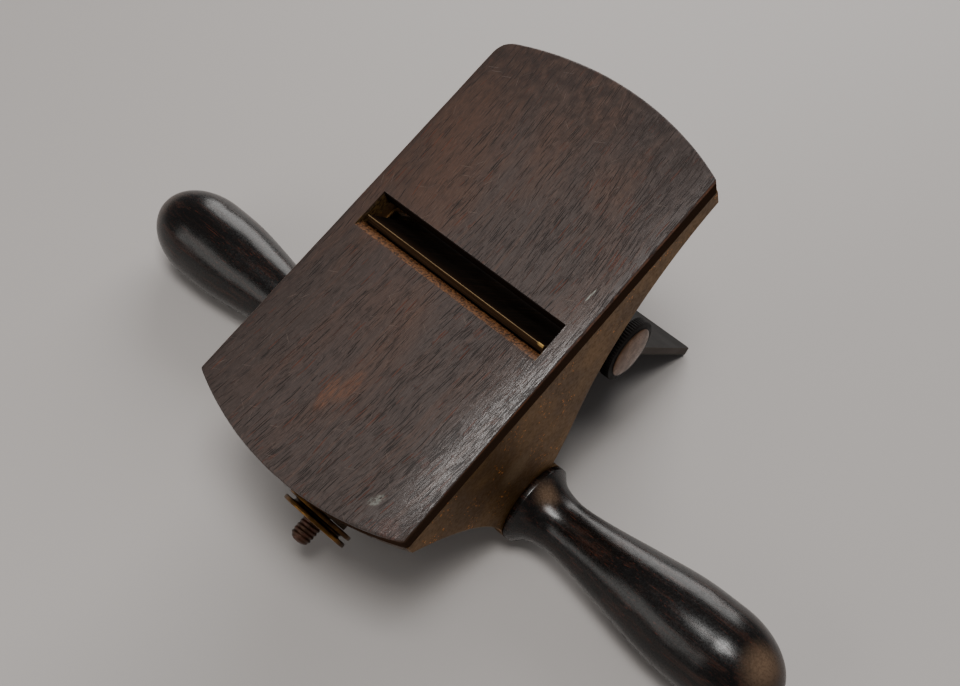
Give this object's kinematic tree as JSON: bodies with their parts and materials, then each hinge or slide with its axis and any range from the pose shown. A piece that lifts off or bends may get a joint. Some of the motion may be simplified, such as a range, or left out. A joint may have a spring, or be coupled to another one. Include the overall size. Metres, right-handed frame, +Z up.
{
  "type": "spokeshave",
  "caption": "Two-handled scraper-type shave: wooden sole on a brass casting, leaning blade in a tilting carrier, threaded adjuster, turned side handles.",
  "frame": {"origin": "middle of the tool's bounding box, on the surface that the tool lies on", "axes": "+X across the tool from handle to handle, +Y towards the end that the blade leans to, +Z up; the tool lies upside down with its sole leaning 21.25 degrees"},
  "size_m": [0.2524, 0.1504, 0.1072],
  "materials": {
    "sole_wood": "oiled dark rosewood with open grain, worn glossy at one edge",
    "cast_bronze": "satin olive-gold, dull from age",
    "handle_ebony": "polished, near black with reddish streaks",
    "blade_steel": "dark grey, brushed",
    "rod_steel": "brown with light rust",
    "nut_brass": "turned, tarnished",
    "knob_metal": "raised tan-brown polished face, dark knurled rim",
    "dark_steel": "dull dark steel"
  },
  "bodies": {
    "frame": {"sole_plate": "sole_wood", "body_casting": "cast_bronze", "sole_screws": "dark_steel", "pivot_rod": "dark_steel", "handle_right": "handle_ebony", "handle_left": "handle_ebony", "handle_insert_right": "nut_brass", "handle_insert_left": "nut_brass", "handle_rod": "dark_steel", "handle_spacer": "cast_bronze"},
    "carrier": {"blade_carrier": "cast_bronze", "rod_pin": "dark_steel"},
    "blade": {"blade": "blade_steel"},
    "clamp": {"clamp_bar": "dark_steel", "clamp_knob": "knob_metal", "bar_collar": "nut_brass", "collar_screw": "dark_steel"},
    "rod": {"rod_eye": "nut_brass", "adjusting_rod": "rod_steel"},
    "outer_nut": {"outer_nut": "nut_brass"},
    "inner_nut": {"inner_nut": "nut_brass"}
  },
  "joints": [
    {"name": "carrier_tilt", "type": "hinge", "parent": "frame", "child": "carrier", "pos_m": [0, -0.01376, 0.06762], "axis": [1, 0, 0], "range_deg": [-8, 2]},
    {"name": "rod_swing", "type": "hinge", "parent": "carrier", "child": "rod", "pos_m": [0, 0.00714, 0.04625], "axis": [1, 0, 0], "range_deg": [-1.8, 6.9]},
    {"name": "outer_nut_turn", "type": "hinge", "parent": "frame", "child": "outer_nut", "pos_m": [0, -0.05724, 0.02121], "axis": [0, 0.932, 0.3625], "range_deg": [-274, 1090]},
    {"name": "inner_nut_turn", "type": "hinge", "parent": "frame", "child": "inner_nut", "pos_m": [0, -0.05724, 0.02121], "axis": [0, 0.932, 0.3625], "range_deg": [-274, 1090]},
    {"name": "blade_slide", "type": "slide", "parent": "carrier", "child": "blade", "axis": [0, 0.7344, -0.6787], "range_m": [-0.0005, 0.012]},
    {"name": "clamp_turn", "type": "hinge", "parent": "carrier", "child": "clamp", "pos_m": [0, 0.02426, 0.05303], "axis": [1, 0, 0], "range_deg": [0, 180]}
  ],
  "couplings": [
    {"joint": "rod_swing", "follows": "carrier_tilt", "ratio": -0.843},
    {"joint": "outer_nut_turn", "follows": "carrier_tilt", "ratio": -136.05},
    {"joint": "inner_nut_turn", "follows": "carrier_tilt", "ratio": -136.05}
  ]
}
